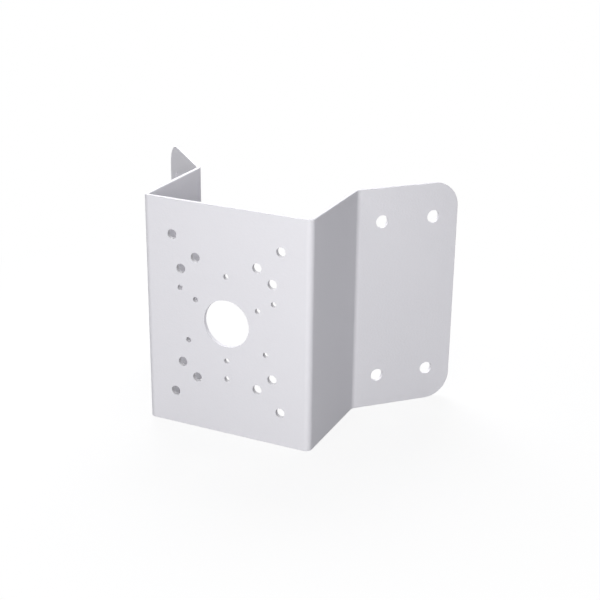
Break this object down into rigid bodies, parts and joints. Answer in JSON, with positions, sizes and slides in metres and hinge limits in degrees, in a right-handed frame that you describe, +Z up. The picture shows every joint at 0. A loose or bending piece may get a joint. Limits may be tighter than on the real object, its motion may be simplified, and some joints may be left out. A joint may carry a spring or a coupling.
{
  "type": "camera corner bracket",
  "caption": "Folded steel bracket that holds a security camera on the outside corner of two walls: a drilled plate, two webs and two wings at 45 degrees.",
  "frame": {"origin": "middle of the bracket's footprint, at the height of the lower edges of the sheet", "axes": "+X to the right as one faces the camera plate, +Y from the camera plate back to the walls, +Z up"},
  "size_m": [0.2396, 0.134, 0.17],
  "materials": {
    "powder_coat": "satin white powder coat with a fine orange peel, on steel sheet"
  },
  "bodies": {
    "root": {"corner_bracket": "powder_coat"}
  },
  "joints": []
}
